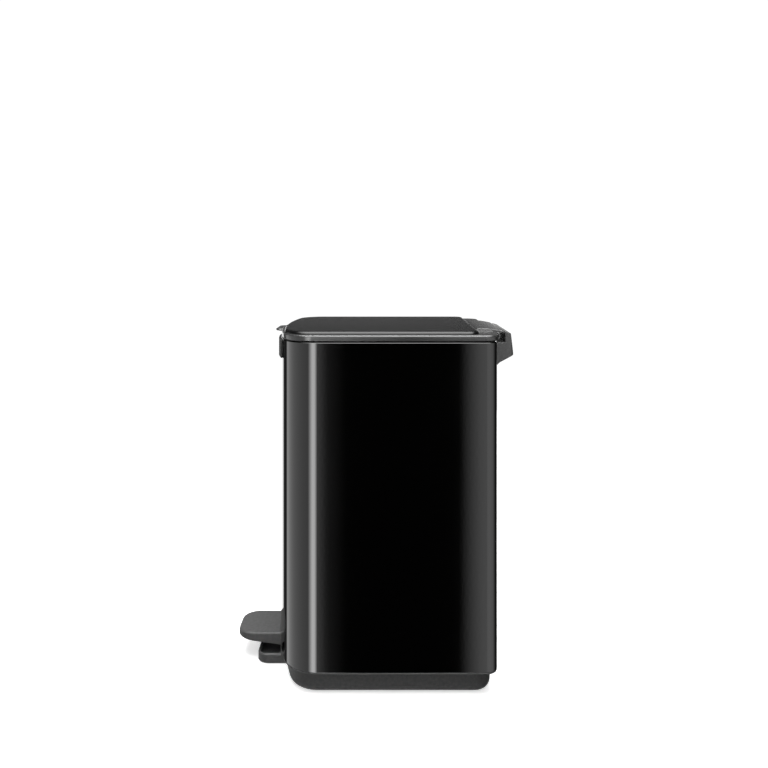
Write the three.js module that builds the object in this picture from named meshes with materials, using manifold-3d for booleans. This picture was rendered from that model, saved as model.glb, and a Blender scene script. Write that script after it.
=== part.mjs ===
// Small rectangular pedal bin: steel wrap, plastic base, lid, pedal linkage, inner bucket.
// Millimetres, +Z up, front toward -Y, floor at z = 0.
import * as THREE from 'three';
import { mergeVertices } from 'three/addons/utils/BufferGeometryUtils.js';
import Module from 'manifold-3d';

const wasm = await Module();
wasm.setup();

// ---- Driving dimensions ----
const gap = 0.3; // clearance left between pieces that touch
const halfWidth = 76.2;
const frontY = -77.1; // foremost point of the bowed front
const rearY = 95;
const frontRadius = 28.5;
const rearRadius = 8.5;
const bowRadius = 196; // the front bulges gently between its corners
const wall = 1; // shell thickness
const slip = 0.4; // looser fit of plastic parts inside the shell
const shellBottom = 18.6;
const shellTop = 267.1;
const baseBottom = 0.5;
const baseFloor = 2.5; // thickness of the base's bottom
const baseInset = 4.4; // the base stands in under the shell
const baseWall = 2.4;
const baseRound = 5.8; // rounded bottom edge of the base
const baseLip = 1.1; // flange that the shell stands on

const rimBottom = 268.3;
const rimTop = 272.8;
const rimOverhang = 1;
const rimSetback = 1.3; // how far the rim's front stands behind the shell's
const panelTop = 275.2;
const panelRear = 81.8;
const panelGap = 0.5;
const panelInset = 5.1;
const panelSetback = 4.2;
const panelSink = 2.2; // depth of the panel below the rim's top
const linerDepth = 3.5;

const hingeY = 98.8;
const hingeZ = 268.8;
const barrelRadius = 3;
const pinRadius = 1.5;
const tabHalf = 40.5; // half width of the hinge tab and its housing
const hingeClear = 0.5; // room round the parts that turn in the lid's barrel
const lidAngle = THREE.MathUtils.degToRad(80);
const lugX = 25; // the housing's two hinge lugs
const lugHalf = 2.7;
const damperHalf = 12;

const cranks = { y: -13, z: -10, radius: 3 }; // lift boss, measured from the hinge axis
const crankLength = Math.hypot(cranks.y, cranks.z);
const crankDip = Math.atan2(-cranks.z, -cranks.y);
const rodLift = crankLength * (Math.sin(lidAngle - crankDip) + Math.sin(crankDip));
const rodY = hingeY - (crankLength - cranks.y) / 2;
const rodRadius = 2;
const linkPlay = 1; // free play at the open pivots of the linkage

const pedalHalf = 20.4;
const pedalTip = -112.5;
const pedalTop = 22.2;
const pedalLow = 10.5; // underside at the pad's inner end
const pedalRise = 0.145; // slope of the underside, level when the pedal is down
const axleY = -56;
const axleZ = 15.5;
const axleRadius = 2.5;
const leverHalf = 7;
const leverThick = 3;
const leverTop = 17;
const leverStep = 2.5;
const leverFront = pedalTip + 10;

const surroundHalf = 28;
const surroundTop = 31.9;
const surroundProud = 0.3;
const toeHalf = 28;
const toeTip = -94.8;
const toeBottom = 0.2;
const toeTop = 8.3;
const toeRadius = 9;

const collarInset = 7.5;
const collarRear = 90.3;
const collarWall = 1.5;
const ledgeTop = 243;
const ledgeThick = 2;
const bucketFloor = 38;
const bucketRear = 78.2;
const bucketInset = 12.6;
const bucketWall = 1.4;
const bailY = 5;
const bailZ = 249;
const bailRadius = 1.5;
const bailReach = 73;

// ---- Materials ----
function finish(color, roughness, metalness = 0) {
  return new THREE.MeshStandardMaterial({ color, roughness, metalness });
}
const blackPaint = () => finish(0x0b0b0b, 0.16);
const glossLid = () => finish(0x151515, 0.25);
const greyPlastic = () => finish(0x3c3c3c, 0.5);
const darkPlastic = () => finish(0x2b2b2b, 0.55);
const steel = () => finish(0x9a9c9e, 0.35, 1);
const rubber = () => finish(0x1a1a1a, 0.85);

// ---- Solids ----
function toSolid(geometry) {
  const bare = geometry.clone();
  bare.deleteAttribute('normal');
  bare.deleteAttribute('uv');
  const merged = mergeVertices(bare, 1e-4);
  return new wasm.Manifold(new wasm.Mesh({
    numProp: 3,
    vertProperties: new Float32Array(merged.attributes.position.array),
    triVerts: new Uint32Array(merged.index.array),
  }));
}

function toGeometry(solid) {
  const mesh = solid.getMesh();
  const geometry = new THREE.BufferGeometry();
  geometry.setAttribute('position', new THREE.BufferAttribute(mesh.vertProperties, 3));
  geometry.setIndex(new THREE.BufferAttribute(mesh.triVerts, 1));
  return geometry;
}

const join = (first, ...others) => others.reduce((sum, solid) => sum.add(solid), first);
const cut = (first, ...others) => others.reduce((rest, solid) => rest.subtract(solid), first);

function box(x0, x1, y0, y1, z0, z1) {
  const geometry = new THREE.BoxGeometry(x1 - x0, y1 - y0, z1 - z0);
  geometry.translate((x0 + x1) / 2, (y0 + y1) / 2, (z0 + z1) / 2);
  return toSolid(geometry);
}

// A plan outline raised from z0 to z1.
function raise(shape, z0, z1, curveSegments = 6) {
  const geometry = new THREE.ExtrudeGeometry(shape, { depth: z1 - z0, bevelEnabled: false, curveSegments });
  geometry.translate(0, 0, z0);
  return toSolid(geometry);
}

// As raise, with the top and bottom edges drawn in by size over a height of thick.
function raiseSoft(shape, z0, z1, size, thick, bevelSegments, curveSegments = 6) {
  const geometry = new THREE.ExtrudeGeometry(shape, {
    depth: z1 - z0 - 2 * thick,
    bevelSize: size,
    bevelOffset: -size,
    bevelThickness: thick,
    bevelSegments,
    curveSegments,
  });
  geometry.translate(0, 0, z0 + thick);
  return toSolid(geometry);
}

// A side profile, given as [y, z] points, swept across from x0 to x1.
function sweepX(points, x0, x1) {
  const shape = new THREE.Shape(points.map(([y, z]) => new THREE.Vector2(y, z)));
  const geometry = new THREE.ExtrudeGeometry(shape, { depth: x1 - x0, bevelEnabled: false });
  const [alongY, alongZ, alongX] = [[0, 1, 0], [0, 0, 1], [1, 0, 0]].map((v) => new THREE.Vector3(...v));
  geometry.applyMatrix4(new THREE.Matrix4().makeBasis(alongY, alongZ, alongX));
  geometry.translate(x0, 0, 0);
  return toSolid(geometry);
}

function cylinderX(radius, x0, x1, y, z, sides = 28) {
  const geometry = new THREE.CylinderGeometry(radius, radius, x1 - x0, sides);
  geometry.rotateZ(Math.PI / 2);
  geometry.translate((x0 + x1) / 2, y, z);
  return toSolid(geometry);
}

function cylinderY(radius, y0, y1, x, z, sides = 20) {
  const geometry = new THREE.CylinderGeometry(radius, radius, y1 - y0, sides);
  geometry.translate(x, (y0 + y1) / 2, z);
  return toSolid(geometry);
}

function cylinderZ(radius, z0, z1, x, y, sides = 24) {
  const geometry = new THREE.CylinderGeometry(radius, radius, z1 - z0, sides);
  geometry.rotateX(Math.PI / 2);
  geometry.translate(x, y, (z0 + z1) / 2);
  return toSolid(geometry);
}

// A solid of revolution about a vertical line; profile is [radius, z] from axis to axis.
function turned(profile, x, y, sides = 24) {
  const geometry = new THREE.LatheGeometry(profile.map(([r, z]) => new THREE.Vector2(r, z)), sides);
  geometry.rotateX(Math.PI / 2);
  geometry.translate(x, y, 0);
  return toSolid(geometry);
}

const ringX = (outer, inner, x0, x1, y, z) =>
  cut(cylinderX(outer, x0, x1, y, z), cylinderX(inner, x0 - 1, x1 + 1, y, z));

// ---- Outlines ----
// Driving sizes of a plan with a bowed front, round corners and a flat back.
const canPlan = {
  half: halfWidth, front: frontY, rear: rearY, corner: frontRadius, rearCorner: rearRadius, bow: bowRadius,
};
const rimPlan = {
  half: halfWidth + rimOverhang, front: frontY + rimSetback, rear: rearY + rimOverhang,
  corner: 24, rearCorner: rearRadius + rimOverhang, bow: 260,
};
const panelPlan = {
  half: halfWidth - panelInset, front: frontY + panelSetback, rear: panelRear,
  corner: 22.5, rearCorner: 8, bow: 350,
};
const tightestRear = 6; // inner skins keep at least this radius in their rear corners

// That plan drawn in by inset, ending at back.
function outline(sizes, inset, back = sizes.rear - inset) {
  const shape = new THREE.Shape();
  const front = sizes.corner - inset;
  const rear = Math.max(sizes.rearCorner - inset, tightestRear);
  const bowCentre = sizes.front + sizes.bow;
  const cornerX = sizes.half - sizes.corner;
  const cornerY = bowCentre - Math.sqrt((sizes.bow - sizes.corner) ** 2 - cornerX ** 2);
  const turn = Math.asin(cornerX / (sizes.bow - sizes.corner));
  const rearX = sizes.half - inset - rear;
  shape.absarc(rearX, back - rear, rear, 0, Math.PI / 2);
  shape.absarc(-rearX, back - rear, rear, Math.PI / 2, Math.PI);
  shape.absarc(-cornerX, cornerY, front, Math.PI, 1.5 * Math.PI - turn);
  shape.absarc(0, bowCentre, sizes.bow - inset, 1.5 * Math.PI - turn, 1.5 * Math.PI + turn);
  shape.absarc(cornerX, cornerY, front, 1.5 * Math.PI + turn, 2 * Math.PI);
  shape.closePath();
  return shape;
}
const plan = (inset, back) => outline(canPlan, inset, back);

// A plan rectangle whose two front corners are round.
function tongue(half, front, back, radius) {
  const shape = new THREE.Shape();
  shape.moveTo(half, back);
  shape.lineTo(-half, back);
  shape.absarc(-half + radius, front + radius, radius, Math.PI, 1.5 * Math.PI);
  shape.absarc(half - radius, front + radius, radius, 1.5 * Math.PI, 2 * Math.PI);
  shape.closePath();
  return shape;
}

const ring = (outer, inner, z0, z1) => cut(raise(outer, z0, z1), raise(inner, z0 - 1, z1 + 1));
// The two x values at these distances out on one side, smaller first.
const span = (side, near, far) => (side > 0 ? [near, far] : [-far, -near]);

// ---- Can: shell, base, collar and what is fixed to them ----
const screwX = 15;
const screwZ = 255;
const screwRadius = 1.5;
const plateBack = 97.8; // rear face of the housing's mounting plate

function bodyShell() {
  const slot = surroundHalf + gap;
  return cut(
    ring(plan(0), plan(wall), shellBottom, shellTop),
    box(-slot, slot, frontY - 5, frontY + 15, shellBottom - 1, surroundTop + gap),
    ...[-1, 1].map((side) => cylinderY(screwRadius + gap, rearY - 3, rearY + 3, side * screwX, screwZ)),
  );
}

const footPlaces = {
  front_left: [-45, -45],
  front_right: [45, -45],
  rear_left: [-52, 72],
  rear_right: [52, 72],
};
const footRadius = 6;
const footTop = 1.7;
const ribInner = 9.5;
const ribOuter = 12.5;
const ribDepth = 6;
const ribAboveAxle = 5.5;

function baseMoulding() {
  const rimZ = shellBottom - gap;
  const lipZ = rimZ - baseLip;
  const inside = baseBottom + baseFloor;
  const inner = plan(baseInset + baseWall);
  const tray = raiseSoft(plan(baseInset), baseBottom, 2 * rimZ, baseRound, baseRound, 4)
    .intersect(raise(plan(0), 0, rimZ - baseLip / 2));
  const lip = ring(plan(gap), inner, lipZ, rimZ);
  const spigot = ring(plan(wall + slip), plan(3), lipZ, surroundTop);
  const frame = ring(plan(-surroundProud), inner, baseBottom + 4, surroundTop)
    .intersect(box(-surroundHalf, surroundHalf, frontY - 5, frontY + 15, 0, surroundTop));
  const toe = raiseSoft(tongue(toeHalf, toeTip, frontY + 14, toeRadius), toeBottom, toeTop, 1, 1, 2);
  const ribs = [-1, 1].map((side) => box(
    ...span(side, ribInner, ribOuter), axleY - ribDepth, axleY + ribDepth, inside - 1, axleZ + ribAboveAxle,
  ));
  const mouth = pedalHalf + 1;
  const hollow = join(
    raise(plan(baseInset + baseRound), inside, inside + baseRound),
    raise(inner, inside + baseRound / 2, rimZ + 1),
  );
  return cut(
    join(cut(tray, hollow), lip, spigot, frame, toe, ...ribs),
    box(-mouth, mouth, frontY - 5, frontY + 18, toeTop + 0.1, pedalTop + 2.5),
    cylinderX(axleRadius + gap, -20, 20, axleY, axleZ),
    ...Object.values(footPlaces).map(([x, y]) => cylinderZ(footRadius + gap, 0, footTop + gap, x, y)),
  );
}

function foot([x, y]) {
  return turned([[0, 0], [footRadius - 0.8, 0], [footRadius, 0.8], [footRadius, footTop], [0, footTop]], x, y);
}

function topCollar() {
  const top = shellTop - gap;
  const ledgeBottom = ledgeTop - ledgeThick;
  const skirt = plan(collarInset - collarWall, collarRear + collarWall);
  const opening = plan(collarInset, collarRear);
  return cut(
    join(
      ring(plan(wall + slip), plan(wall + 1.8), shellTop - 9, top),
      ring(plan(wall + slip), opening, top - 2, top),
      ring(skirt, opening, ledgeBottom, top),
      ring(skirt, plan(bucketInset - slip, bucketRear + slip), ledgeBottom, ledgeTop),
    ),
    cylinderZ(rodRadius + 0.6, ledgeTop - 5, ledgeTop + 2, 0, rodY),
  );
}

function badgePlate() {
  const [half, bottom, top, thick] = [50, 252, 266.2, 1.3];
  return ring(plan(-gap - thick), plan(-gap), bottom, top)
    .intersect(box(-half, half, frontY - 5, frontY + 5, bottom - 1, top + 1));
}

function rodGuide() {
  const [half, thick, bottom, top] = [6.5, 1.5, 43, 236];
  const front = bucketRear + 2 * gap;
  const back = rearY - wall - slip;
  const channel = half - thick;
  return cut(
    box(-half, half, front, back, bottom, top),
    box(-channel, channel, front + thick, back + 1, bottom - 1, top + 1),
  );
}

function hingeHousing() {
  const side = 3; // thickness of its two end walls
  const seat = hingeZ - 5.6; // top of its front part, below the lid's barrel
  const notch = hingeY + 7; // the lid's flap lies over everything before this
  const outer = [
    [rearY + slip, 244.8], [99.4, 245.6], [101.2, 247.4], [112.5, 253.4], [110.2, 270],
    [notch, 271.2], [notch, seat], [rearY + slip, seat],
  ];
  const inner = [
    [plateBack, 240], [109.6, 240], [109.8, 254], [107.8, 267.6],
    [notch + 1.8, 267.8], [notch + 1.8, seat - 2.7], [plateBack, seat - 2.7],
  ];
  const lugs = [-1, 1].flatMap((sign) => {
    const [x0, x1] = [sign * lugX - lugHalf, sign * lugX + lugHalf];
    const web = box(x0, x1, hingeY - 2, hingeY + 2, seat - 1, hingeZ);
    return [cylinderX(barrelRadius, x0, x1, hingeY, hingeZ), web];
  });
  return cut(
    join(cut(sweepX(outer, -tabHalf, tabHalf), sweepX(inner, side - tabHalf, tabHalf - side)), ...lugs),
    cylinderX(pinRadius + gap, -tabHalf, tabHalf, hingeY, hingeZ),
    ...[-1, 1].map((sign) => cylinderY(screwRadius + gap, rearY - 3, plateBack + 1, sign * screwX, screwZ)),
  );
}

function housingScrew(side) {
  return join(
    cylinderY(screwRadius, 92.5, plateBack + 1, side * screwX, screwZ),
    cylinderY(3, plateBack + gap, plateBack + 2.1, side * screwX, screwZ),
  );
}

// ---- Lid ----
function lidFrame() {
  const tab = [
    [panelRear + 0.8, rimBottom], [panelRear + 0.8, rimTop + 0.6], [84.4, 274.6], [91.5, 274.4], [97, 273.7],
    [101, 273], [104.4, 272.3], [104.6, 271.7], [104.2, 271.2], [101.5, 271.7], [hingeY + 0.5, 271.7],
    [hingeY, hingeZ], [hingeY - barrelRadius, hingeZ], [hingeY - barrelRadius, rimBottom],
  ];
  const lip = raiseSoft(tongue(15, frontY - 4.3, frontY + 4, 4), 270.2, 272.6, 0.6, 0.6, 2);
  const clearOfLugs = [-1, 1].map((side) => cylinderX(
    barrelRadius + hingeClear, side * lugX - lugHalf - gap, side * lugX + lugHalf + gap, hingeY, hingeZ,
  ));
  return cut(
    join(
      raiseSoft(outline(rimPlan, 0), rimBottom, rimTop, 0.7, 0.7, 1),
      lip,
      sweepX(tab, -tabHalf, tabHalf),
      cylinderX(barrelRadius, -tabHalf, tabHalf, hingeY, hingeZ),
    ),
    raise(outline(panelPlan, -panelGap), rimTop - panelSink - gap, panelTop + 5),
    cylinderX(pinRadius + gap, -tabHalf - 1, tabHalf + 1, hingeY, hingeZ),
    cylinderX(barrelRadius + hingeClear, -damperHalf, damperHalf, hingeY, hingeZ),
    ...clearOfLugs,
  );
}

function lidPanel() {
  return raiseSoft(outline(panelPlan, 0), rimTop - panelSink, panelTop, 1.6, 1.6, 3);
}

function lidLiner() {
  const top = rimBottom - gap;
  const [inset, back, thick] = [collarInset + 1, 88.6, 1.6];
  const [bossY, bossZ] = [hingeY + cranks.y, hingeZ + cranks.z];
  return join(
    raise(plan(inset, back), top - 1.5, top),
    ring(plan(inset, back), plan(inset + thick, back - thick), top - linerDepth, top),
    box(-4, 4, bossY - 2, bossY + 2, bossZ, top - 1),
    cylinderX(cranks.radius, -5, 5, bossY, bossZ),
  );
}

function lidBumper(side) {
  return cylinderZ(2.3, shellTop, rimBottom - gap, side * 30, frontY + 7);
}

function damperBody() {
  return ringX(barrelRadius - 0.1, pinRadius + gap, gap - damperHalf, 3, hingeY, hingeZ);
}

function damperRotor() {
  return ringX(barrelRadius - 0.4, pinRadius + gap, 3 + gap, damperHalf - gap, hingeY, hingeZ);
}

// ---- Pedal, lever and axle ----
function pedalPad() {
  const back = frontY + 10;
  const skin = 2.2;
  const cavities = [-1, 1].map((side) => box(
    ...span(side, leverHalf + skin + gap, pedalHalf - skin), pedalTip + 8, back - skin, 0, pedalTop - skin,
  ));
  const wedge = sweepX([
    [back + 1, pedalLow - pedalRise], [back + 1, 2 * pedalTop], [pedalTip - 1, 2 * pedalTop],
    [pedalTip - 1, pedalLow + pedalRise * (back - pedalTip + 1)],
  ], -2 * pedalHalf, 2 * pedalHalf);
  return cut(
    raiseSoft(tongue(pedalHalf, pedalTip, back, 13), pedalLow - 2, pedalTop, 1.4, 1.4, 2).intersect(wedge),
    ...cavities,
    box(
      -leverHalf - gap, leverHalf + gap, leverFront - gap, back + 1,
      leverTop + leverStep - leverThick - gap, leverTop + leverStep + gap,
    ),
  );
}

// A flat bar through the hub: its front half, inside the pad, sits a step higher than its rear half.
function pedalLever() {
  const front = box(
    -leverHalf, leverHalf, leverFront, axleY, leverTop + leverStep - leverThick, leverTop + leverStep,
  );
  const rear = box(-leverHalf, leverHalf, axleY, rodY + 4, leverTop - leverThick, leverTop);
  const hub = cylinderX(5.5, gap - ribInner, ribInner - gap, axleY, axleZ);
  return cut(join(front, rear, hub), cylinderX(4, -ribInner, ribInner, axleY, axleZ));
}

function axleBush(side) {
  return ringX(4 - gap, axleRadius + gap, ...span(side, 1, ribInner - gap), axleY, axleZ);
}

function axleClip(side) {
  return ringX(5, axleRadius + gap, ...span(side, ribOuter + gap, ribOuter + 1.8), axleY, axleZ);
}

// ---- Push rod ----
const shoeBottom = leverTop + linkPlay;
const capTop = hingeZ + cranks.z - cranks.radius - linkPlay;

function rodShoe() {
  const profile = [
    [0, shoeBottom], [1.6, shoeBottom], [2.9, shoeBottom + 0.8], [3.5, shoeBottom + 2.2],
    [3.5, shoeBottom + 12], [rodRadius + gap, shoeBottom + 12], [rodRadius + gap, shoeBottom + 2 - gap],
    [0, shoeBottom + 2 - gap],
  ];
  return turned(profile, 0, rodY);
}

function rodCap() {
  const profile = [
    [0, capTop - 4 + gap], [rodRadius + gap, capTop - 4 + gap], [rodRadius + gap, capTop - 8],
    [3.2, capTop - 8],
    [3.2, capTop - 1.4], [2.4, capTop - 0.4], [1.2, capTop], [0, capTop],
  ];
  return turned(profile, 0, rodY);
}

// ---- Bucket ----
const flangeTop = ledgeTop + gap + 2;

function bucket() {
  const bucketHalf = halfWidth - bucketInset;
  const inner = plan(bucketInset + bucketWall, bucketRear - bucketWall);
  const lugs = [-1, 1].map((side) => cut(
    box(...span(side, bucketHalf - 1, bucketHalf + 0.8), bailY - 5, bailY + 5, flangeTop - 1, bailZ + 3.2),
    cylinderX(bailRadius + 0.5, -halfWidth, halfWidth, bailY, bailZ),
  ));
  return join(
    ring(plan(bucketInset, bucketRear), inner, bucketFloor, flangeTop),
    raise(plan(bucketInset, bucketRear), bucketFloor, bucketFloor + bucketWall),
    ring(plan(collarInset + 0.7, bucketRear + 2.3), inner, flangeTop - 2, flangeTop),
    ...lugs,
  );
}

// Wire bail folded back along the bucket's rim; its ends turn in through the lugs.
function bucketHandle() {
  const legX = halfWidth - 10;
  const side = [
    [legX - 6, bailY], [legX - 2, bailY], [legX - 0.5, bailY + 0.8], [legX, bailY + 3], [legX, bailY + 20],
    [legX, bailReach - 26], [legX - 5, bailReach - 12], [legX - 18, bailReach - 3], [legX - 36, bailReach],
  ];
  const mirrored = side.map(([x, y]) => [-x, y]).reverse();
  const points = [...side, ...mirrored].map(([x, y]) => new THREE.Vector3(x, y, bailZ));
  const section = new THREE.Shape();
  section.absarc(0, 0, bailRadius, 0, 2 * Math.PI);
  return toSolid(new THREE.ExtrudeGeometry(section, {
    steps: 84,
    curveSegments: 4,
    bevelEnabled: false,
    extrudePath: new THREE.CatmullRomCurve3(points, false, 'centripetal'),
  }));
}

// ---- Assembly ----
const can = new THREE.Group();

function add(name, solid, material) {
  const mesh = new THREE.Mesh(toGeometry(solid), material);
  mesh.name = name;
  can.add(mesh);
}

add('body_shell', bodyShell(), blackPaint());
add('base_moulding', baseMoulding(), greyPlastic());
add('top_collar', topCollar(), darkPlastic());
add('badge_plate', badgePlate(), darkPlastic());
add('rod_guide', rodGuide(), darkPlastic());
add('hinge_housing', hingeHousing(), greyPlastic());
add('hinge_pin', cylinderX(pinRadius, 0.5 - tabHalf, tabHalf - 0.5, hingeY, hingeZ), steel());
add('damper_body', damperBody(), darkPlastic());
add('pedal_axle', cylinderX(axleRadius, -ribOuter - 2.5, ribOuter + 2.5, axleY, axleZ), steel());
for (const [place, position] of Object.entries(footPlaces)) {
  add(`foot_${place}`, foot(position), rubber());
}
for (const [name, side] of [['left', -1], ['right', 1]]) {
  add(`housing_screw_${name}`, housingScrew(side), steel());
  add(`axle_clip_${name}`, axleClip(side), steel());
  add(`axle_bush_${name}`, axleBush(side), darkPlastic());
  add(`lid_bumper_${name}`, lidBumper(side), rubber());
}
add('lid_frame', lidFrame(), greyPlastic());
add('lid_panel', lidPanel(), glossLid());
add('lid_liner', lidLiner(), darkPlastic());
add('damper_rotor', damperRotor(), darkPlastic());
add('pedal_pad', pedalPad(), greyPlastic());
add('pedal_lever', pedalLever(), steel());
add('push_rod', cylinderZ(rodRadius, shoeBottom + 2, capTop - 4, 0, rodY), steel());
add('rod_shoe', rodShoe(), darkPlastic());
add('rod_cap', rodCap(), darkPlastic());
add('bucket', bucket(), darkPlastic());
add('bucket_handle', bucketHandle(), steel());

export default can;
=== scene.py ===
"""Pedal bin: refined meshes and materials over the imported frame. Metres, +Z up, front toward -Y."""
import math

import bmesh
import bpy
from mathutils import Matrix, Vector


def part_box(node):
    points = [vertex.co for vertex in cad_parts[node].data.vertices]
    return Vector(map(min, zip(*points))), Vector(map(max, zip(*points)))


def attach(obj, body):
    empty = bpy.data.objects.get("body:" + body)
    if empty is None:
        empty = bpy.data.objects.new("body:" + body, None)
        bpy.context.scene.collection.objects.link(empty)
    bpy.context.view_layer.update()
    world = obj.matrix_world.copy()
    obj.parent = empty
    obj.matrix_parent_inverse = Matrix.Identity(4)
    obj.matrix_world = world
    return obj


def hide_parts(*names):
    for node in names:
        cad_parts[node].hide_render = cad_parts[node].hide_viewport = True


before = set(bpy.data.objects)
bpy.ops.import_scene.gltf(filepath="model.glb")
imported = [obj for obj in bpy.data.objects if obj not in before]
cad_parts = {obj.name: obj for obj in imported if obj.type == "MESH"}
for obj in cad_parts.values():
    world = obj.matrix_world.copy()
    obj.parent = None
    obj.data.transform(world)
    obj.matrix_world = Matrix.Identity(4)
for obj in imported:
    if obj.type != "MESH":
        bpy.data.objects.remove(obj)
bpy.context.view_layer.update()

# ---- Sizes taken from the frame, and the radii that boxes can't give ----
SHELL_LOW, SHELL_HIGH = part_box("body_shell")
BASE_LOW, BASE_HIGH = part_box("base_moulding")
HALF_WIDTH = SHELL_HIGH.x
FRONT = SHELL_LOW.y
REAR = SHELL_HIGH.y
WALL = 0.001
GAP = 0.0003  # between pieces that meet
SLIP = 0.0004  # looser fit of plastic parts inside the shell
SEAM = SHELL_LOW.z - GAP
BASE_INSET = 0.0044
BASE_WALL = 0.0024
BASE_INNER = BASE_INSET + BASE_WALL

PANEL_LOW, PANEL_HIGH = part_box("lid_panel")
RIM_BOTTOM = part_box("lid_liner")[1].z + GAP
RIM_TOP = PANEL_LOW.z + 0.0022  # the panel is sunk this far into the rim
RIM_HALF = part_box("lid_frame")[1].x
TAB_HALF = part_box("hinge_housing")[1].x
PEDAL_LOW, PEDAL_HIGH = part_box("pedal_pad")

PIN_LOW, PIN_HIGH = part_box("hinge_pin")
HINGE_Y = (PIN_LOW.y + PIN_HIGH.y) / 2
HINGE_Z = (PIN_LOW.z + PIN_HIGH.z) / 2
PIN_RADIUS = (PIN_HIGH.z - PIN_LOW.z) / 2
BARREL_RADIUS = 0.003
HINGE_CLEAR = 0.0005
BOSS_AHEAD = 0.013  # the lid's lift boss, in front of the hinge
LUG_X = 0.025
LUG_HALF = 0.0027
DAMPER_HALF = 0.012

AXLE_LOW, AXLE_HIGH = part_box("pedal_axle")
AXLE_Y = (AXLE_LOW.y + AXLE_HIGH.y) / 2
AXLE_Z = (AXLE_LOW.z + AXLE_HIGH.z) / 2
AXLE_RADIUS = (AXLE_HIGH.z - AXLE_LOW.z) / 2
RIB_INNER = 0.0095
RIB_OUTER = 0.0125
LEVER_HALF = 0.007
LEVER_PAD_LOW = 0.0165  # the stretch of the lever that lies inside the pad
LEVER_PAD_HIGH = 0.0195
TOE_HALF = 0.028

COLLAR_INSET = 0.0075
COLLAR_REAR = REAR - 0.0047
LEDGE_INSET = 0.0122
LEDGE_THICK = 0.002
BUCKET_INSET = 0.0126
BUCKET_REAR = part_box("bucket")[1].y - 0.0023
BUCKET_WALL = 0.0014

# Plans with a bowed front, round corners and a flat back.
CAN_PLAN = {
    "half": HALF_WIDTH, "front": FRONT, "rear": REAR,
    "corner": 0.0285, "rear_corner": 0.0085, "bow": 0.196,
}
RIM_PLAN = {
    "half": RIM_HALF, "front": FRONT + 0.0013, "rear": REAR + RIM_HALF - HALF_WIDTH,
    "corner": 0.024, "rear_corner": 0.0095, "bow": 0.26,
}
PANEL_PLAN = {
    "half": PANEL_HIGH.x, "front": PANEL_LOW.y, "rear": PANEL_HIGH.y,
    "corner": 0.0225, "rear_corner": 0.008, "bow": 0.35,
}
BASE_PLAN = dict(CAN_PLAN, rear_corner=0.0175)
TIGHTEST_REAR = 0.006  # inner skins keep at least this rear corner
SURROUND_HALF = 0.028
FEET = ("foot_front_left", "foot_front_right", "foot_rear_left", "foot_rear_right")


# ---- Camera and stage ----
CAMERA_AT = (0.6664, 0.0088, 0.3348)
SENSOR_MM = 36
LENS_MM = 36.75
VIEW_SHIFT = -0.1706
LAMP_AT = (0.1, 0, 1.5)
LAMP_SIDE = 1.3
LAMP_WATTS = 34
BACKDROP = 1.05
FLOOR_GLOW = 0.62  # lifts the floor to the white of the backdrop


def make_camera():
    """Level camera on the bin's right side, with the view shifted down."""
    data = bpy.data.cameras.new("camera")
    data.sensor_width = SENSOR_MM
    data.lens = LENS_MM
    data.shift_y = VIEW_SHIFT
    camera = bpy.data.objects.new("camera", data)
    camera.location = CAMERA_AT
    camera.rotation_euler = (math.pi / 2, 0, math.pi / 2)
    bpy.context.scene.collection.objects.link(camera)
    bpy.context.scene.camera = camera


def add_node(tree, kind, **settings):
    """A shader node with the given settings."""
    node = tree.nodes.new("ShaderNode" + kind)
    for name, value in settings.items():
        setattr(node, name, value)
    return node


def ramp(tree, source, stops, interpolation="LINEAR"):
    """A colour ramp of greys; stops are (position, grey)."""
    node = add_node(tree, "ValToRGB")
    node.color_ramp.interpolation = interpolation
    elements = node.color_ramp.elements
    while len(elements) < len(stops):
        elements.new(0.5)
    for element, (position, grey) in zip(elements, stops):
        element.position = position
        element.color = (grey, grey, grey, 1)
    tree.links.new(source, node.inputs["Fac"])
    return node.outputs["Color"]


def azimuth_stop(degrees):
    """Where a compass direction, counted from +X toward +Y, lies on the studio's ramp."""
    return (degrees + 180) / 360


# What glossy surfaces mirror around the can: (azimuth in degrees, radiance).
STUDIO = [
    (-180, 1.6), (-158, 1.6), (-154, 0.04), (-128, 0.06), (-119, 2.2), (-85, 1.55), (-52, 1.15),
    (-33, 1), (-27, 4.5), (-20, 9.5), (-13, 9.5), (-10, 6.2), (-7, 3.5), (-5.2, 1.2), (-4.6, 0.3),
    (-4.0, 0.08), (-3.4, 0.005), (6.0, 0.005), (6.4, 0.2), (6.8, 1.1), (7.6, 1.9), (40, 1.9),
    (70, 1.4), (95, 0.3), (106, 0.04), (158, 0.04), (166, 1), (180, 1.6),
]
MIRROR_STRENGTH = 16


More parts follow.
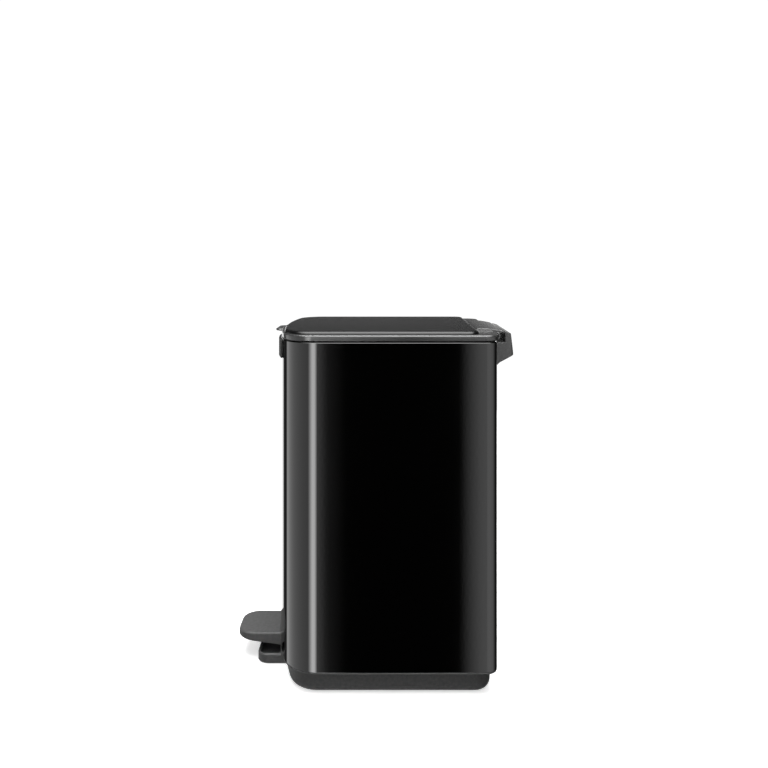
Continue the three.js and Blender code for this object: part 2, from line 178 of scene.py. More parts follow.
def make_world():
    """Plain white backdrop; soft even light; tall light panels that only glossy surfaces mirror."""
    world = bpy.data.worlds.new("studio")
    bpy.context.scene.world = world
    world.use_nodes = True
    tree = world.node_tree
    tree.nodes.clear()
    link = tree.links.new

    place = add_node(tree, "TexCoord")
    split = add_node(tree, "SeparateXYZ")
    link(place.outputs["Generated"], split.inputs[0])
    angle = add_node(tree, "Math", operation="ARCTAN2")
    link(split.outputs["Y"], angle.inputs[0])
    link(split.outputs["X"], angle.inputs[1])
    turn = add_node(tree, "MapRange")
    turn.inputs["From Min"].default_value = -math.pi
    turn.inputs["From Max"].default_value = math.pi
    link(angle.outputs[0], turn.inputs["Value"])
    stops = [(azimuth_stop(azimuth), radiance / MIRROR_STRENGTH) for azimuth, radiance in STUDIO]
    panels = ramp(tree, turn.outputs[0], stops)

    high = add_node(tree, "MapRange")
    high.inputs["From Min"].default_value = 0.0
    high.inputs["From Max"].default_value = 0.06
    link(split.outputs["Z"], high.inputs["Value"])
    overhead = add_node(tree, "MixRGB")
    link(high.outputs[0], overhead.inputs["Fac"])
    link(panels, overhead.inputs["Color1"])
    toward = add_node(tree, "VectorMath", operation="DOT_PRODUCT")
    link(place.outputs["Generated"], toward.inputs[0])
    toward.inputs[1].default_value = (0.64, 0, 0.77)
    sky = ramp(tree, toward.outputs["Value"], [(0.3, 0.002), (0.6, 0.01), (0.8, 0.9), (1.0, 1.0)])
    link(sky, overhead.inputs["Color2"])

    mirrored = add_node(tree, "Background")
    mirrored.inputs["Strength"].default_value = MIRROR_STRENGTH
    link(overhead.outputs[0], mirrored.inputs["Color"])
    soft = add_node(tree, "Background")
    fade = ramp(tree, split.outputs["Z"], [(0.0, 0.01), (0.15, 0.03), (0.5, 0.18), (1.0, 1.0)])
    link(fade, soft.inputs["Color"])
    backdrop = add_node(tree, "Background")
    backdrop.inputs["Color"].default_value = (1, 1, 1, 1)
    backdrop.inputs["Strength"].default_value = BACKDROP

    rays = add_node(tree, "LightPath")
    lit = add_node(tree, "MixShader")
    link(rays.outputs["Is Glossy Ray"], lit.inputs[0])
    link(soft.outputs[0], lit.inputs[1])
    link(mirrored.outputs[0], lit.inputs[2])
    seen = add_node(tree, "MixShader")
    link(rays.outputs["Is Camera Ray"], seen.inputs[0])
    link(lit.outputs[0], seen.inputs[1])
    link(backdrop.outputs[0], seen.inputs[2])
    out = add_node(tree, "OutputWorld")
    link(seen.outputs[0], out.inputs[0])


def make_lights():
    """One wide soft light overhead."""
    data = bpy.data.lights.new("overhead", "AREA")
    data.shape = "RECTANGLE"
    data.size = LAMP_SIDE
    data.size_y = LAMP_SIDE
    data.energy = LAMP_WATTS
    lamp = bpy.data.objects.new("overhead", data)
    lamp.location = LAMP_AT
    bpy.context.scene.collection.objects.link(lamp)


def make_floor():
    """Pale floor, wide enough to meet the white backdrop."""
    bm = bmesh.new()
    bmesh.ops.create_grid(bm, x_segments=1, y_segments=1, size=1)
    floor = new_piece("floor", bm)
    material = bpy.data.materials.new("pale_floor")
    material.use_nodes = True
    shader = material.node_tree.nodes["Principled BSDF"]
    shader.inputs["Roughness"].default_value = 0.9
    shader.inputs["Specular IOR Level"].default_value = 0.1
    shader.inputs["Base Color"].default_value = (0.97, 0.97, 0.97, 1)
    shader.inputs["Emission Color"].default_value = (1, 1, 1, 1)
    shader.inputs["Emission Strength"].default_value = FLOOR_GLOW
    floor.data.materials.append(material)
    floor.visible_glossy = False
    floor.visible_diffuse = False


# ---- Mesh tools ----
def new_piece(name, bm):
    """A scene object from a bmesh, with its faces turned outward."""
    bmesh.ops.recalc_face_normals(bm, faces=bm.faces)
    mesh = bpy.data.meshes.new(name)
    bm.to_mesh(mesh)
    bm.free()
    piece = bpy.data.objects.new(name, mesh)
    bpy.context.scene.collection.objects.link(piece)
    return piece


def bake(piece):
    """Applies the piece's modifiers to its mesh."""
    graph = bpy.context.evaluated_depsgraph_get()
    mesh = bpy.data.meshes.new_from_object(piece.evaluated_get(graph))
    old = piece.data
    piece.modifiers.clear()
    piece.data = mesh
    bpy.data.meshes.remove(old)


def combine(piece, operation, *others):
    """Adds (UNION), removes (DIFFERENCE) or keeps the overlap with (INTERSECT) each other piece."""
    for other in others:
        modifier = piece.modifiers.new(operation, "BOOLEAN")
        modifier.operation = operation
        modifier.solver = "EXACT"
        modifier.object = other
        bake(piece)
        mesh = other.data
        bpy.data.objects.remove(other)
        bpy.data.meshes.remove(mesh)
    return piece


def finish_edges(piece, width, segments=3, angle=35):
    """Smooth shading with rounded edges of the given width."""
    for polygon in piece.data.polygons:
        polygon.use_smooth = True
    limit = math.radians(angle)
    if width:
        bevel = piece.modifiers.new("edges", "BEVEL")
        bevel.width = width
        bevel.segments = segments
        bevel.limit_method = "ANGLE"
        bevel.angle_limit = limit
        bevel.use_clamp_overlap = True
        bevel.miter_outer = "MITER_ARC"
        bake(piece)
        for polygon in piece.data.polygons:
            polygon.use_smooth = True
    piece.data.set_sharp_from_angle(angle=limit)
    weighted = piece.modifiers.new("normals", "WEIGHTED_NORMAL")
    weighted.keep_sharp = True
    weighted.weight = 80
    return piece


def loft(name, loops, ring=False):
    """Skins a row of equal point loops. Ends are capped, unless a ring joins the last to the first."""
    bm = bmesh.new()
    rows = [[bm.verts.new(point) for point in loop] for loop in loops]
    pairs = list(zip(rows, rows[1:]))
    if ring:
        pairs.append((rows[-1], rows[0]))
    count = len(rows[0])
    for lower, upper in pairs:
        for i in range(count):
            j = (i + 1) % count
            bm.faces.new((lower[i], lower[j], upper[j], upper[i]))
    if not ring:
        bm.faces.new(rows[0])
        bm.faces.new(rows[-1])
    return new_piece(name, bm)


def arc(centre_x, centre_y, radius, start, end, steps):
    """Points along an arc in plan, both ends included; angles in degrees."""
    points = []
    for step in range(steps + 1):
        turn = math.radians(start + (end - start) * step / steps)
        points.append((centre_x + radius * math.cos(turn), centre_y + radius * math.sin(turn)))
    return points


def outline(plan, inset, back=None, steps=14):
    """A plan drawn in by inset, ending at back."""
    back = plan["rear"] - inset if back is None else back
    corner, bow = plan["corner"], plan["bow"]
    rear = max(plan["rear_corner"] - inset, TIGHTEST_REAR)
    bow_centre = plan["front"] + bow
    corner_x = plan["half"] - corner
    reach = bow - corner
    corner_y = bow_centre - math.sqrt(reach**2 - corner_x**2)
    turn = math.degrees(math.asin(corner_x / reach))
    rear_x = plan["half"] - inset - rear
    return (
        arc(rear_x, back - rear, rear, 0, 90, steps)
        + arc(-rear_x, back - rear, rear, 90, 180, steps)
        + arc(-corner_x, corner_y, corner - inset, 180, 270 - turn, steps)
        + arc(0, bow_centre, bow - inset, 270 - turn, 270 + turn, 2 * steps)[1:-1]
        + arc(corner_x, corner_y, corner - inset, 270 + turn, 360, steps)
    )


def level(z, inset, back=None, plan=CAN_PLAN):
    """An outline at height z."""
    return [(x, y, z) for x, y in outline(plan, inset, back)]


def tongue(half, front, back, radius, steps=12):
    """A plan rectangle whose two front corners are round."""
    return (
        [(half, back), (-half, back)]
        + arc(-half + radius, front + radius, radius, 180, 270, steps)
        + arc(half - radius, front + radius, radius, 270, 360, steps)
    )


def span(side, near, far):
    """The two x values at these distances out on one side, smaller first."""
    return sorted((side * near, side * far))


def rounded_box(name, low, high, radius, axis="Y", steps=6):
    """A box whose edges along axis are rounded."""
    spans = [(low[i], high[i]) for i in range(3)]
    run = "XYZ".index(axis)
    across, up = [i for i in range(3) if i != run]
    (a0, a1), (b0, b1) = spans[across], spans[up]
    corners = (
        arc(a1 - radius, b1 - radius, radius, 0, 90, steps)
        + arc(a0 + radius, b1 - radius, radius, 90, 180, steps)
        + arc(a0 + radius, b0 + radius, radius, 180, 270, steps)
        + arc(a1 - radius, b0 + radius, radius, 270, 360, steps)
    )
    loops = []
    for end in spans[run]:
        loop = []
        for a, b in corners:
            point = [0, 0, 0]
            point[run], point[across], point[up] = end, a, b
            loop.append(point)
        loops.append(loop)
    return loft(name, loops)


def sweep_x(name, profile, x0, x1):
    """A side profile of (y, z) points swept across."""
    return loft(name, [[(x, y, z) for y, z in profile] for x in (x0, x1)])


def disc_x(name, radius, x0, x1, y, z, steps=40):
    """A cylinder lying across, between x0 and x1."""
    return sweep_x(name, arc(y, z, radius, 0, 360, steps)[:-1], x0, x1)


def turned(name, profile, x, y, steps=40):
    """A solid of revolution about a vertical line; profile is (radius, z) from bottom to top."""
    loops = [[(px, py, z) for px, py in arc(x, y, r, 0, 360, steps)[:-1]] for r, z in profile]
    return loft(name, loops)


def dress(piece, body, slot, material, *nodes):
    """Says what the piece rides on, which CAD nodes it stands for, and what it is made of."""
    piece.data.materials.clear()
    piece.data.materials.append(material)
    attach(piece, body)
    if nodes:
        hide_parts(*nodes)
    return piece


# ---- Materials ----
def start_material(name):
    """A new node material, its tree and its shader."""
    material = bpy.data.materials.new(name)
    material.use_nodes = True
    return material, material.node_tree, material.node_tree.nodes["Principled BSDF"]


def noise(tree, scale, detail=3, stretch=(1, 1, 1)):
    """Noise fixed to the piece, with its cell size set by scale."""
    place = add_node(tree, "TexCoord")
    mapping = add_node(tree, "Mapping")
    mapping.inputs["Scale"].default_value = stretch
    tree.links.new(place.outputs["Object"], mapping.inputs["Vector"])
    texture = add_node(tree, "TexNoise")
    texture.inputs["Scale"].default_value = scale
    texture.inputs["Detail"].default_value = detail
    tree.links.new(mapping.outputs[0], texture.inputs["Vector"])
    return texture.outputs["Fac"]


def vary(tree, source, low, high):
    """Stretches the middle of a noise over the range from low to high."""
    node = add_node(tree, "MapRange")
    node.inputs["From Min"].default_value = 0.3
    node.inputs["From Max"].default_value = 0.7
    node.inputs["To Min"].default_value = low
    node.inputs["To Max"].default_value = high
    tree.links.new(source, node.inputs["Value"])
    return node.outputs[0]


def add_bump(tree, shader, source, strength, distance):
    """Drives the shader's normal from a height texture."""
    bump = add_node(tree, "Bump")
    bump.inputs["Strength"].default_value = strength
    bump.inputs["Distance"].default_value = distance
    tree.links.new(source, bump.inputs["Height"])
    tree.links.new(bump.outputs[0], shader.inputs["Normal"])


def painted_edge_highlight(tree):
    """Painted highlight: a mask that is bright beside sharp edges, where the base colour is lifted to stand
    in for the light that edges catch.
    """
    rounded = add_node(tree, "Bevel", samples=4)
    rounded.inputs["Radius"].default_value = 0.0006
    geometry = add_node(tree, "NewGeometry")
    agree = add_node(tree, "VectorMath", operation="DOT_PRODUCT")
    tree.links.new(rounded.outputs[0], agree.inputs[0])
    tree.links.new(geometry.outputs["Normal"], agree.inputs[1])
    return ramp(tree, agree.outputs["Value"], [(0.75, 1), (0.97, 0)])


def mix_grey(tree, factor, low, high):
    """Blends two greys by a factor."""
    node = add_node(tree, "MixRGB")
    node.inputs["Color1"].default_value = (low, low, low, 1)
    node.inputs["Color2"].default_value = (high, high, high, 1)
    tree.links.new(factor, node.inputs["Fac"])
    return node.outputs[0]


def gloss_paint(name, grey, rough_low, rough_high, shine, peel):
    """Sprayed gloss coat: faint orange peel, slight roughness drift, and a painted highlight along its
    edges.
    """
    material, tree, shader = start_material(name)
    drift = noise(tree, 14, 4)
    tree.links.new(vary(tree, drift, rough_low, rough_high), shader.inputs["Roughness"])
    # Base colour three times brighter beside edges: a painted highlight.
    tree.links.new(mix_grey(tree, painted_edge_highlight(tree), grey, grey * 3), shader.inputs["Base Color"])
    shader.inputs["Specular IOR Level"].default_value = shine
    add_bump(tree, shader, noise(tree, 420, 2), peel, 0.0002)
    return material


def moulded_plastic(name, grey, rough, shine=0.35, grain=1100, bump=0.1):
    """Spark-eroded moulding grain with uneven gloss and a painted highlight along its edges."""
    material, tree, shader = start_material(name)
    drift = noise(tree, 22, 4)
    tree.links.new(vary(tree, drift, rough - 0.02, rough + 0.03), shader.inputs["Roughness"])
    speckle = vary(tree, noise(tree, grain * 0.6, 2), 0, 1)
    # Grain speckle plus a painted highlight beside edges, added together into the base colour.
    grain_and_edge_highlight = add_node(tree, "MixRGB", blend_type="ADD")
    grain_and_edge_highlight.inputs["Fac"].default_value = 0.35
    tree.links.new(mix_grey(tree, speckle, grey * 0.9, grey * 1.1), grain_and_edge_highlight.inputs["Color1"])
    tree.links.new(mix_grey(tree, painted_edge_highlight(tree), 0, grey * 0.6), grain_and_edge_highlight.inputs["Color2"])
    tree.links.new(grain_and_edge_highlight.outputs[0], shader.inputs["Base Color"])
    shader.inputs["Specular IOR Level"].default_value = shine
    add_bump(tree, shader, noise(tree, grain, 3), bump, 0.00012)
    return material


def drawn_steel(name, along):
    """Plated steel with fine marks along the drawing direction."""
    material, tree, shader = start_material(name)
    stretch = [0.04 if axis == along else 1 for axis in "XYZ"]
    marks = noise(tree, 1600, 3, stretch)
    shader.inputs["Metallic"].default_value = 1
    tree.links.new(mix_grey(tree, marks, 0.42, 0.62), shader.inputs["Base Color"])
    tree.links.new(vary(tree, marks, 0.24, 0.4), shader.inputs["Roughness"])
    add_bump(tree, shader, marks, 0.2, 0.00005)
    return material


def soft_rubber(name):
    """Matt rubber with a slightly uneven grey."""
    material, tree, shader = start_material(name)
    tree.links.new(mix_grey(tree, noise(tree, 60, 4), 0.012, 0.022), shader.inputs["Base Color"])
    tree.links.new(vary(tree, noise(tree, 200, 2), 0.75, 0.92), shader.inputs["Roughness"])
    add_bump(tree, shader, noise(tree, 1500, 2), 0.3, 0.0001)
    return material


# ---- The can ----
def body_wrap():
    """Steel wrap with small turned edges at top and bottom, and a slot for the pedal surround."""
    low, high = SHELL_LOW.z, SHELL_HIGH.z
    turn = 0.0004
    profile = [(turn, low), (turn * 0.3, low + turn * 0.3), (0, low + turn)]
    profile += [(0, high - turn), (turn * 0.3, high - turn * 0.3), (turn, high)]
    profile += [(WALL, high), (WALL, low)]
    wrap = loft("body_wrap", [level(z, inset) for inset, z in profile], ring=True)
    half = SURROUND_HALF + GAP
    slot = rounded_box(
        "slot", (-half, FRONT - 0.01, low - 0.01), (half, FRONT + 0.02, BASE_HIGH.z + GAP), 0.004
    )
    combine(wrap, "DIFFERENCE", slot)
    return finish_edges(wrap, 0)


def tray_bowl(low, lip):
    """Hollow bottom of the base, with a round along its lower edge."""
    bottom_round = 0.0066
    steps = 9
    levels = []
    for step in range(steps + 1):
        angle = math.radians(90 * step / steps)
        inset = BASE_INSET + bottom_round * (1 - math.sin(angle))
        levels.append(level(low + bottom_round * (1 - math.cos(angle)), inset, plan=BASE_PLAN))
    bowl = loft("base_tray", levels + [level(lip + 0.0005, BASE_INSET, plan=BASE_PLAN)])
    hollow = loft("hollow", [
        level(z, inset, plan=BASE_PLAN) for z, inset in (
            (low + 0.0025, BASE_INNER + bottom_round), (low + bottom_round + 0.001, BASE_INNER),
            (SEAM + 0.01, BASE_INNER))
    ])
    return combine(bowl, "DIFFERENCE", hollow)


def tray_flange(lip):
    """Rounded step under the shell, with a spigot that reaches up inside it."""
    outer = WALL + SLIP
    spigot_inner = 0.003
    spigot_top = SEAM + 0.0106
    return loft("flange", [level(z, inset) for inset, z in (
        (0.0006, lip), (0.0002, lip + 0.0003), (0.0001, lip + 0.0007), (0.0004, SEAM),
        (outer, SEAM), (outer, spigot_top), (spigot_inner, spigot_top), (spigot_inner, SEAM),
        (BASE_INNER, SEAM), (BASE_INNER, lip),
    )], ring=True)


def pedal_surround(low):
    """Frame round the pedal's opening, standing slightly proud of the shell."""
    top = BASE_HIGH.z
    proud = 0.0003
    surround = loft("surround", [level(z, inset) for inset, z in (
        (0.0004 - proud, low + 0.004), (-proud, low + 0.0044), (-proud, top - 0.0006),
        (0.0006 - proud, top), (BASE_INNER, top), (BASE_INNER, low + 0.004),
    )], ring=True)
    window = rounded_box(
        "window", (-SURROUND_HALF, FRONT - 0.01, low - 0.004), (SURROUND_HALF, FRONT + 0.012, top), 0.004,
    )
    combine(surround, "INTERSECT", window)
    finish_edges(surround, 0.0005, 2, 50)
    bake(surround)
    return surround


def tray_toe(top):
    """Shallow tray that reaches forward under the pedal."""
    ground = BASE_LOW.z
    tip = FRONT - 0.0177
    rim = 0.0015
    toe = loft("toe", [
        [(x, y, z) for x, y in tongue(TOE_HALF - inset, tip + inset, FRONT + 0.014, 0.009)]
        for inset, z in (
            (0.0011, ground), (0.0004, ground + 0.0004), (0, ground + 0.0011),
            (0, top - 0.0012), (0.0004, top - 0.0004), (0.0012, top))
    ])
    recess = loft("recess", [
        [(x, y, z) for x, y in tongue(TOE_HALF - rim, tip + rim, FRONT + 0.012, 0.0075)]
        for z in (ground + 0.0035, top + 0.001)
    ])
    return combine(toe, "DIFFERENCE", recess)


def axle_ribs(low):
    """The two ribs that carry the pedal's axle."""
    return [
        rounded_box(
            "rib", (x0, AXLE_Y - 0.006, low + 0.0015), (x1, AXLE_Y + 0.006, AXLE_Z + 0.0055), 0.002, "X",
        )
        for x0, x1 in (span(side, RIB_INNER, RIB_OUTER) for side in (-1, 1))
    ]


def foot_socket(name):
    """Room for one rubber foot in the base's underside."""
    low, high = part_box(name)
    centre = (low + high) / 2
    radius = (high.x - low.x) / 2 + GAP
    top = high.z + GAP
    profile = [(0, -0.001), (radius, -0.001), (radius, top), (0, top)]
    return turned("socket", profile, centre.x, centre.y)


def base_tray():
    """Base standing in under the shell: bowl, flange, pedal surround, toe, axle ribs and foot sockets."""
    low = BASE_LOW.z + GAP
    lip = SEAM - 0.0011
    tray = tray_bowl(low, lip)
    toe_top = PEDAL_LOW.z - 0.0022
    combine(tray, "UNION", tray_flange(lip), pedal_surround(low), tray_toe(toe_top), *axle_ribs(low))
    mouth_half = PEDAL_HIGH.x + 0.001
    mouth = rounded_box(
        "mouth", (-mouth_half, FRONT - 0.01, toe_top + 0.0001),
        (mouth_half, FRONT + 0.018, PEDAL_HIGH.z + 0.0025), 0.002,
    )
    bore = disc_x("bore", AXLE_RADIUS + GAP, -0.02, 0.02, AXLE_Y, AXLE_Z)
    combine(tray, "DIFFERENCE", mouth, bore, *(foot_socket(node) for node in FEET))
    return finish_edges(tray, 0)


def top_collar():
    """Ring in the shell's mouth: outer lip, flange, inner wall and the ledge that the bucket hangs on."""
    low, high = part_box("top_collar")
    outer = WALL + SLIP
    seal = 0.0009
    skirt = high.z - 0.0087
    wall_inset, wall_rear = COLLAR_INSET - 0.0015, COLLAR_REAR + 0.0015
    ledge_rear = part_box("bucket")[1].y - 0.0019
    ledge_top = low.z + LEDGE_THICK
    profile = [
        (outer, None, skirt), (outer, None, high.z + seal), (0.0022, None, high.z + seal),
        (0.0022, None, high.z), (COLLAR_INSET, COLLAR_REAR, high.z), (COLLAR_INSET, COLLAR_REAR, ledge_top),
        (LEDGE_INSET, ledge_rear, ledge_top), (LEDGE_INSET, ledge_rear, low.z),
        (wall_inset, wall_rear, low.z), (wall_inset, wall_rear, high.z - 0.002),
        (0.0028, None, high.z - 0.002), (0.0028, None, skirt),
    ]
    collar = loft("collar", [level(z, inset, back) for inset, back, z in profile], ring=True)
    rod_low, rod_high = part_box("push_rod")
    clear = (rod_high.x - rod_low.x) / 2 + 0.0006
    bottom, top = low.z - 0.002, low.z + 0.004
    hole = turned(
        "rod_hole", [(0, bottom), (clear, bottom), (clear, top), (0, top)], 0, (rod_low.y + rod_high.y) / 2,
    )
    combine(collar, "DIFFERENCE", hole)
    return finish_edges(collar, 0.0003, 2)


def badge():
    """Blank plate along the top of the shell's front."""
    low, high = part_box("badge_plate")
    thick = 0.0013
    edge = 0.0004
    plate = loft(
        "badge", [level(z, -GAP - inset) for inset, z in (
            (0, low.z), (thick - edge, low.z), (thick, low.z + edge),
            (thick, high.z - edge), (thick - edge, high.z), (0, high.z))], ring=True,
    )
    window = rounded_box(
        "window", (low.x, FRONT - 0.01, low.z), (high.x, FRONT + 0.02, high.z), 0.0015
    )
    combine(plate, "INTERSECT", window)
    return finish_edges(plate, 0.0002, 2)


def housing():
    """Rear hinge housing, open below as a grip, with the two lugs that hold the pin."""
    low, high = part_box("hinge_housing")
    seat = HINGE_Z - 0.0056
    notch = HINGE_Y + 0.007
    outer = sweep_x("housing", [
        (low.y, low.z), (high.y - 0.0131, low.z + 0.0008), (high.y - 0.0113, low.z + 0.0026),
        (high.y, low.z + 0.0086),
        (high.y - 0.0023, high.z - 0.0012), (notch, high.z), (notch, seat), (low.y, seat),
    ], -TAB_HALF, TAB_HALF)
    ends = rounded_box(
        "ends", (-TAB_HALF, low.y - 0.01, low.z - 0.01), (TAB_HALF, high.y, high.z + 0.01), 0.0035, "Z", 8,
    )
    combine(outer, "INTERSECT", ends)
    plate = low.y + 0.0024
    inner = sweep_x("inner", [
        (plate, low.z - 0.006), (high.y - 0.0029, low.z - 0.006), (high.y - 0.0027, low.z + 0.0092),
        (high.y - 0.0047, high.z - 0.0042), (notch + 0.0018, high.z - 0.0040),
        (notch + 0.0018, seat - 0.0027), (plate, seat - 0.0027),
    ], 0.003 - TAB_HALF, TAB_HALF - 0.003)
    combine(outer, "DIFFERENCE", inner)
    finish_edges(outer, 0.0006, 3, 25)
    bake(outer)
    for side in (-1, 1):
        x0, x1 = side * LUG_X - LUG_HALF, side * LUG_X + LUG_HALF
        combine(
            outer, "UNION",
            disc_x("lug", BARREL_RADIUS, x0, x1, HINGE_Y, HINGE_Z),
            rounded_box(
                "web", (x0, HINGE_Y - 0.002, seat - 0.001), (x1, HINGE_Y + 0.002, HINGE_Z), 0.0004, "X",
            ),
        )
    combine(outer, "DIFFERENCE", disc_x("bore", PIN_RADIUS + GAP, -TAB_HALF, TAB_HALF, HINGE_Y, HINGE_Z))
    return finish_edges(outer, 0)


def foot(name):
    """Turned rubber foot with a groove in its sole."""
    low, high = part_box(name)
    x, y = (low.x + high.x) / 2, (low.y + high.y) / 2
    r = (high.x - low.x) / 2
    profile = [
        (0.0022, low.z + 0.0005), (0.0024, low.z), (r - 0.0014, low.z), (r - 0.0005, low.z + 0.0003),
        (r, low.z + 0.0009), (r, high.z), (0.001, high.z),
    ]
    return finish_edges(turned(name + "_pad", profile, x, y), 0)


# ---- The lid ----
def lid_ring():
    """Lid frame: rounded rim, panel recess, finger lip, raised hinge tab and split hinge barrel."""
    low, high = RIM_BOTTOM, RIM_TOP
    rim = loft("lid_ring", [level(z, inset, plan=RIM_PLAN) for inset, z in (
        (0.0008, low), (0.0002, low + 0.0003), (0, low + 0.0008),
        (0, high - 0.0008), (0.0002, high - 0.0003), (0.0007, high),
    )])
    frame_low, frame_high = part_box("lid_frame")
    tip = frame_low.y
    lip_top = high - 0.0006
    lip = loft("lip", [
        [(x, y, z) for x, y in tongue(0.015 - inset, tip + inset, FRONT + 0.006, 0.004)]
        for inset, z in (
            (0.0012, lip_top - 0.0022), (0.0004, lip_top - 0.0018), (0, lip_top - 0.0012),
            (0.0001, lip_top - 0.0006), (0.0005, lip_top - 0.0002), (0.0012, lip_top))
    ])
    tab_top = frame_high.z
    rear = frame_high.y
    front = PANEL_HIGH.y + 0.0008
    under = HINGE_Z + BARREL_RADIUS - 0.0001
    tab = sweep_x("tab", [
        (front, low), (front, high + 0.0006), (front + 0.0006, tab_top - 0.0003), (front + 0.0018, tab_top),
        (rear - 0.0131, tab_top - 0.0002), (rear - 0.0076, tab_top - 0.0009),
        (rear - 0.0036, tab_top - 0.0016), (rear - 0.0002, tab_top - 0.0023), (rear, tab_top - 0.0029),
        (rear - 0.0004, tab_top - 0.0034), (rear - 0.0031, under),
        (HINGE_Y + 0.0005, under), (HINGE_Y, HINGE_Z), (HINGE_Y - BARREL_RADIUS, HINGE_Z),
        (HINGE_Y - BARREL_RADIUS, low),
    ], -TAB_HALF, TAB_HALF)
    finish_edges(tab, 0.0004, 2, 50)
    bake(tab)
    barrel = disc_x("barrel", BARREL_RADIUS, -TAB_HALF, TAB_HALF, HINGE_Y, HINGE_Z)
    pocket = loft("pocket", [level(z, -0.0005, plan=PANEL_PLAN) for z in (high - 0.0025, high + 0.005)])
    clear = BARREL_RADIUS + HINGE_CLEAR
    gaps = [disc_x("clear", clear, -DAMPER_HALF, DAMPER_HALF, HINGE_Y, HINGE_Z)]
    for side in (-1, 1):
        x0, x1 = side * LUG_X - LUG_HALF - GAP, side * LUG_X + LUG_HALF + GAP
        gaps.append(disc_x("clear", clear, x0, x1, HINGE_Y, HINGE_Z))
    combine(rim, "UNION", lip, tab, barrel)
    combine(rim, "DIFFERENCE", pocket, *gaps)
    combine(rim, "DIFFERENCE", disc_x("bore", PIN_RADIUS + GAP, -0.05, 0.05, HINGE_Y, HINGE_Z))
    return finish_edges(rim, 0)


def lid_plate():
    """Inset lid panel with a soft folded edge."""
    low, high = PANEL_LOW.z, PANEL_HIGH.z
    edge = 0.0021
    bend = 8
    loops = [level(low, 0.0006, plan=PANEL_PLAN), level(low + 0.0006, 0, plan=PANEL_PLAN)]
    for step in range(bend + 1):
        angle = math.radians(90 * step / bend)
        z = high - edge * (1 - math.sin(angle))
        loops.append(level(z, edge * (1 - math.cos(angle)), plan=PANEL_PLAN))
    return finish_edges(loft("lid_plate", loops), 0)


def liner():
    """Inner skin of the lid: plate, skirt and the lift boss that the push rod raises."""
    low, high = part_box("lid_liner")
    back = high.y
    inset = HALF_WIDTH - high.x
    skirt = RIM_BOTTOM - GAP - 0.0035
    plate = high.z - 0.0015
    skin = loft("liner", [
        level(high.z, inset, back), level(skirt, inset, back), level(skirt, inset + 0.0016, back - 0.0016),
        level(plate, inset + 0.0016, back - 0.0016),
    ])
    boss_y = HINGE_Y - BOSS_AHEAD
    boss_radius = 0.003
    boss_z = low.z + boss_radius
    combine(
        skin, "UNION",
        rounded_box(
            "web", (-0.004, boss_y - 0.002, boss_z), (0.004, boss_y + 0.002, high.z - 0.001), 0.0005, "Z",
        ),
        disc_x("boss", boss_radius, -0.005, 0.005, boss_y, boss_z),
    )
    return finish_edges(skin, 0.0003, 2)


# ---- Pedal ----
def pedal():
    """Moulded foot pad: round nose, soft top edge, sloping underside, hollowed around the lever."""
    low, high = PEDAL_LOW, PEDAL_HIGH
    half = high.x
    slope = 0.145
    rounding = [
        (0, low.z - 0.001), (0, high.z - 0.0020), (0.0003, high.z - 0.0010), (0.0009, high.z - 0.0003),
        (0.0020, high.z),
    ]
    pad = loft("pedal", [
        [(x, y, z) for x, y in tongue(half - inset, low.y + inset, high.y, 0.0135 - inset, 16)]
        for inset, z in rounding
    ])
    wedge = sweep_x("wedge", [
        (high.y + 0.001, low.z - 0.001 * slope), (high.y + 0.001, 2 * high.z), (low.y - 0.001, 2 * high.z),
        (low.y - 0.001, low.z + slope * (high.y - low.y + 0.001)),
    ], -0.03, 0.03)
    combine(pad, "INTERSECT", wedge)
    finish_edges(pad, 0.0007, 2, 50)
    bake(pad)
    lever_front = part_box("pedal_lever")[0].y
    for side in (-1, 1):
        x0, x1 = span(side, LEVER_HALF + 0.0025, half - 0.0022)
        combine(pad, "DIFFERENCE", rounded_box(
            "cavity", (x0, low.y + 0.010, 0), (x1, high.y - 0.002, high.z - 0.0024), 0.0015, "Z",
        ))
    channel = rounded_box(
        "channel", (-LEVER_HALF - GAP, lever_front - GAP, LEVER_PAD_LOW - GAP),
        (LEVER_HALF + GAP, high.y + 0.001, LEVER_PAD_HIGH + GAP), 0.0003,
    )
    combine(pad, "DIFFERENCE", channel)
    return finish_edges(pad, 0)


# ---- Bucket ----
def pail():
    """Inner bucket: rolled flange, slim wall, rounded floor, and the lugs for its handle."""
    low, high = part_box("bucket")
    inset, rear, wall = BUCKET_INSET, BUCKET_REAR, BUCKET_WALL
    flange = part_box("top_collar")[0].z + 0.0043
    flange_rear = high.y
    flange_inset = HALF_WIDTH - high.x
    profile = [
        (inset + 0.004, rear - 0.004, low.z), (inset + 0.0012, rear - 0.0012, low.z + 0.0012),
        (inset, rear, low.z + 0.004), (inset, rear, flange - 0.002),
        (flange_inset, flange_rear, flange - 0.002),
        (flange_inset, flange_rear, flange - 0.0005), (flange_inset + 0.0006, flange_rear - 0.0006, flange),
        (inset + wall - 0.0003, rear - wall + 0.0003, flange), (inset + wall, rear - wall, flange - 0.0006),
        (inset + wall, rear - wall, low.z + 0.005), (inset + 0.0026, rear - 0.0026, low.z + 0.0026),
        (inset + 0.0055, rear - 0.0055, low.z + wall),
    ]
    body = loft("pail", [level(z, i, back) for i, back, z in profile])
    handle_low, handle_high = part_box("bucket_handle")
    pivot_y = handle_low.y + 0.0015
    pivot_z = (handle_low.z + handle_high.z) / 2
    for side in (-1, 1):
        x0, x1 = span(side, HALF_WIDTH - inset - 0.001, HALF_WIDTH - inset + 0.0008)
        combine(body, "UNION", rounded_box(
            "lug", (x0, pivot_y - 0.005, flange - 0.001), (x1, pivot_y + 0.005, high.z), 0.002, "X",
        ))
    combine(body, "DIFFERENCE", disc_x("bore", 0.002, -HALF_WIDTH, HALF_WIDTH, pivot_y, pivot_z))
    return finish_edges(body, 0)


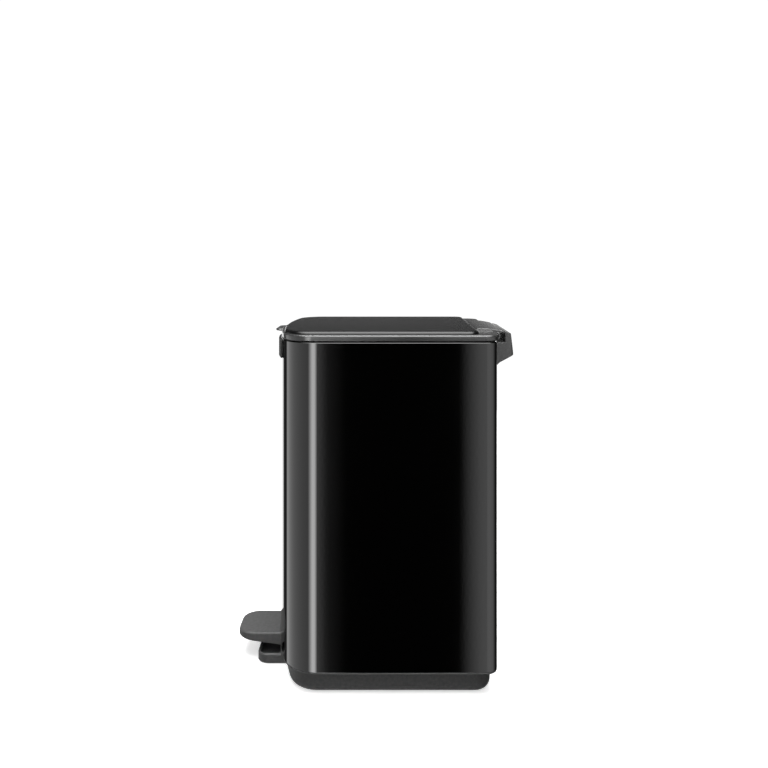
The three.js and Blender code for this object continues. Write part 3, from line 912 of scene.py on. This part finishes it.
def bail():
    """Bent wire handle, folded back on the bucket's rim."""
    low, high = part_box("bucket_handle")
    radius = (high.z - low.z) / 2
    z = (low.z + high.z) / 2
    leg = HALF_WIDTH - 0.010
    pivot = low.y + radius
    reach = high.y - radius
    side = [
        (leg - 0.006, pivot), (leg - 0.0022, pivot), (leg - 0.0006, pivot + 0.0007), (leg, pivot + 0.003),
        (leg, pivot + 0.020), (leg, reach - 0.026), (leg - 0.005, reach - 0.012),
        (leg - 0.018, reach - 0.003), (leg - 0.036, reach),
    ]
    points = side + [(-x, y) for x, y in reversed(side)]
    curve = bpy.data.curves.new("bail", "CURVE")
    curve.dimensions = "3D"
    curve.bevel_depth = radius
    curve.bevel_resolution = 4
    curve.resolution_u = 6
    curve.use_fill_caps = True
    spline = curve.splines.new("BEZIER")
    spline.bezier_points.add(len(points) - 1)
    for knot, (x, y) in zip(spline.bezier_points, points):
        knot.co = (x, y, z)
        knot.handle_left_type = "AUTO"
        knot.handle_right_type = "AUTO"
    wire = bpy.data.objects.new("bail_curve", curve)
    bpy.context.scene.collection.objects.link(wire)
    graph = bpy.context.evaluated_depsgraph_get()
    mesh = bpy.data.meshes.new_from_object(wire.evaluated_get(graph))
    bpy.data.objects.remove(wire)
    bpy.data.curves.remove(curve)
    handle = bpy.data.objects.new("bail", mesh)
    bpy.context.scene.collection.objects.link(handle)
    return finish_edges(handle, 0)


def keep(node, material):
    """Gives a CAD part its finish and softened edges."""
    node.data.materials.clear()
    node.data.materials.append(material)
    weld = node.modifiers.new("weld", "WELD")
    weld.merge_threshold = 0.00001
    bevel = node.modifiers.new("edges", "BEVEL")
    bevel.width = 0.0002
    bevel.segments = 2
    bevel.limit_method = "ANGLE"
    bevel.angle_limit = math.radians(40)


# ---- Assembly ----
make_camera()
make_world()
make_lights()
make_floor()
bpy.context.scene.view_settings.view_transform = "Standard"

paint = gloss_paint("black_paint", 0.001, 0.035, 0.045, 0.5, 0.015)
lid_gloss = gloss_paint("gloss_lid", 0.008, 0.17, 0.19, 0.16, 0.0008)
grey = moulded_plastic("grey_plastic", 0.055, 0.2, 0.45, 1100, 0.05)
tread = moulded_plastic("textured_plastic", 0.1, 0.5, 0.12, 700, 0.15)
dark = moulded_plastic("dark_plastic", 0.022, 0.65, 0.1)
pail_plastic = moulded_plastic("bucket_plastic", 0.035, 0.38, 0.3, 700, 0.12)
rod_steel = drawn_steel("steel_upright", "Z")
bar_steel = drawn_steel("steel_lengthwise", "Y")
pin_steel = drawn_steel("steel_crosswise", "X")
rubber = soft_rubber("rubber")

dress(body_wrap(), "can", "black_paint", paint, "body_shell")
dress(base_tray(), "can", "grey_plastic", tread, "base_moulding")
dress(top_collar(), "can", "dark_plastic", dark, "top_collar")
dress(badge(), "can", "dark_plastic", dark, "badge_plate")
dress(housing(), "can", "grey_plastic", grey, "hinge_housing")
for node in FEET:
    dress(foot(node), "can", "rubber", rubber, node)
dress(lid_ring(), "lid", "grey_plastic", grey, "lid_frame")
dress(lid_plate(), "lid", "gloss_lid", lid_gloss, "lid_panel")
dress(liner(), "lid", "dark_plastic", dark, "lid_liner")
dress(pedal(), "pedal", "grey_plastic", tread, "pedal_pad")
dress(pail(), "bucket", "bucket_plastic", pail_plastic, "bucket")
dress(bail(), "handle", "steel", pin_steel, "bucket_handle")

# CAD parts whose shape is right and stays.
KEPT = {
    "rod_guide": dark, "damper_body": dark, "damper_rotor": dark, "rod_shoe": dark, "rod_cap": dark,
    "axle_bush_left": dark, "axle_bush_right": dark,
    "axle_clip_left": pin_steel, "axle_clip_right": pin_steel,
    "hinge_pin": pin_steel, "pedal_axle": pin_steel, "pedal_lever": bar_steel, "push_rod": rod_steel,
    "housing_screw_left": bar_steel, "housing_screw_right": bar_steel,
    "lid_bumper_left": rubber, "lid_bumper_right": rubber,
}
for name, material in KEPT.items():
    keep(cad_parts[name], material)
